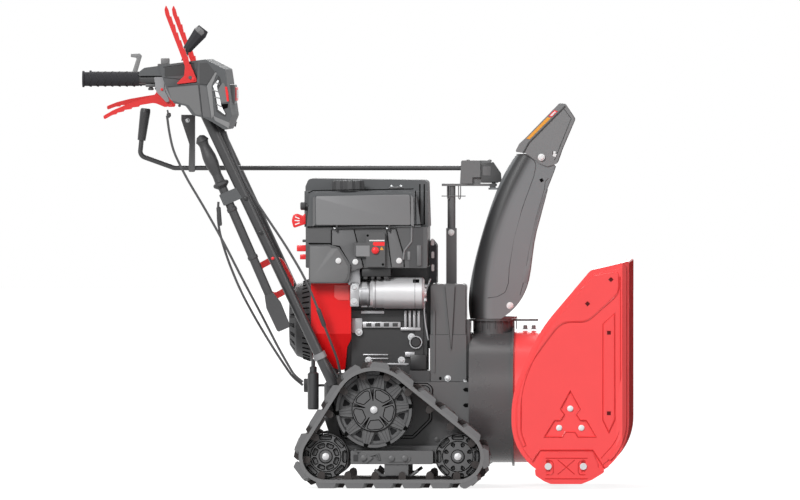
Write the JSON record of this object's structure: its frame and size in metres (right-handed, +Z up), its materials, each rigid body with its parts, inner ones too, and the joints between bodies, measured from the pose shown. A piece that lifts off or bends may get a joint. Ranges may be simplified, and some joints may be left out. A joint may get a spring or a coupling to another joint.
{
  "type": "tracked snow blower",
  "caption": "Walk-behind two-stage snow blower on two rubber tracks, with a wide auger bucket, turning discharge chute, engine and handlebar console.",
  "frame": {"origin": "on the ground under the middle of the machine's overall length and width", "axes": "+X forward to the intake bucket, +Y to the operator's left, +Z up"},
  "size_m": [1.364, 0.73, 1.2031],
  "materials": {
    "bucket_red": "gloss enamel",
    "dark_grey_paint": "satin powder coat",
    "mid_grey_paint": "satin powder coat",
    "black_paint": "satin powder coat",
    "track_rubber": "matt moulded rubber",
    "grip_rubber": "matt moulded rubber",
    "grey_plastic": "fine moulded texture",
    "black_plastic": "fine moulded texture",
    "red_plastic": "moulded",
    "cast_metal": "cast",
    "bright_steel": "zinc plated"
  },
  "bodies": {
    "machine": {"auger_gearbox": "cast_metal", "axles": "bright_steel", "belt_cover": "mid_grey_paint", "blower_housing": "red_plastic", "bucket_shell": "bucket_red", "bucket_side_left": "bucket_red", "bucket_side_right": "bucket_red", "cable_clutch_right": "black_paint", "cable_drive_right": "black_paint", "cable_steering_right": "black_paint", "chassis": "mid_grey_paint", "chute_gear_head": "mid_grey_paint", "clean_out_tool": "black_plastic", "console": "black_plastic", "crank_bracket": "black_paint", "crankcase": "cast_metal", "cylinder_block": "cast_metal", "drive_wheel_left": "grey_plastic", "drive_wheel_right": "grey_plastic", "engine_base": "mid_grey_paint", "engine_control_box": "black_plastic", "engine_lower_cover": "black_plastic", "engine_top_cover": "black_plastic", "fuel_cap": "black_plastic", "grip_left": "grip_rubber", "grip_right": "grip_rubber", "handle_brackets": "black_paint", "handle_clamps": "black_paint", "handle_tube_left": "black_paint", "handle_tube_right": "black_paint", "idlers_left": "grey_plastic", "idlers_right": "grey_plastic", "impeller_housing": "mid_grey_paint", "lever_brackets": "bright_steel", "mast": "black_paint", "muffler_guard": "black_plastic", "rear_strut": "black_paint", "recoil_handle": "red_plastic", "recoil_starter": "black_plastic", "scraper_bar": "bright_steel", "skid_shoe_left": "bucket_red", "skid_shoe_right": "bucket_red", "speed_lever": "black_plastic", "starter_motor": "cast_metal", "tool_clip": "black_plastic", "track_frame_left": "mid_grey_paint", "track_frame_right": "mid_grey_paint", "track_left": "track_rubber", "track_right": "track_rubber"},
    "auger": {"auger": "dark_grey_paint"},
    "impeller": {"impeller": "dark_grey_paint"},
    "chute": {"chute": "mid_grey_paint"},
    "deflector": {"deflector": "mid_grey_paint"},
    "chute_crank": {"chute_crank": "black_paint"},
    "clutch_lever_right": {"clutch_lever_right": "red_plastic"},
    "clutch_lever_left": {"clutch_lever_left": "red_plastic"},
    "steering_trigger_right": {"steering_trigger_right": "red_plastic"},
    "steering_trigger_left": {"steering_trigger_left": "red_plastic"}
  },
  "joints": [
    {"name": "auger_spin", "type": "hinge", "parent": "machine", "child": "auger", "pos_m": [0.536, 0, 0.1685], "axis": [0, 1, 0], "continuous": true},
    {"name": "impeller_spin", "type": "hinge", "parent": "machine", "child": "impeller", "pos_m": [0.279, 0, 0.224], "axis": [1, 0, 0], "continuous": true},
    {"name": "chute_turn", "type": "hinge", "parent": "machine", "child": "chute", "pos_m": [0.338, 0, 0.413], "axis": [0, 0, 1], "range_deg": [-90, 90]},
    {"name": "chute_crank_spin", "type": "hinge", "parent": "machine", "child": "chute_crank", "pos_m": [0.255, 0, 0.795], "axis": [1, 0, 0], "range_deg": [-720, 720]},
    {"name": "deflector_tilt", "type": "hinge", "parent": "chute", "child": "deflector", "pos_m": [0.46, 0, 0.824], "axis": [0, 1, 0], "range_deg": [0, 60]},
    {"name": "clutch_lever_right_press", "type": "hinge", "parent": "machine", "child": "clutch_lever_right", "pos_m": [-0.412, -0.222, 1.022], "axis": [0, 1, 0], "range_deg": [-58, 0], "stiffness_Nm_per_rad": 1.5, "springref_deg": 20.05},
    {"name": "steering_trigger_right_squeeze", "type": "hinge", "parent": "machine", "child": "steering_trigger_right", "pos_m": [-0.489, -0.222, 0.99], "axis": [0, 1, 0], "range_deg": [0, 10], "stiffness_Nm_per_rad": 3, "springref_deg": -5.73},
    {"name": "clutch_lever_left_press", "type": "hinge", "parent": "machine", "child": "clutch_lever_left", "pos_m": [-0.412, 0.222, 1.022], "axis": [0, 1, 0], "range_deg": [-58, 0], "stiffness_Nm_per_rad": 1.5, "springref_deg": 20.05},
    {"name": "steering_trigger_left_squeeze", "type": "hinge", "parent": "machine", "child": "steering_trigger_left", "pos_m": [-0.489, 0.222, 0.99], "axis": [0, 1, 0], "range_deg": [0, 10], "stiffness_Nm_per_rad": 3, "springref_deg": -5.73}
  ],
  "couplings": [
    {"joint": "impeller_spin", "follows": "auger_spin", "ratio": 10},
    {"joint": "chute_crank_spin", "follows": "chute_turn", "ratio": 8}
  ]
}
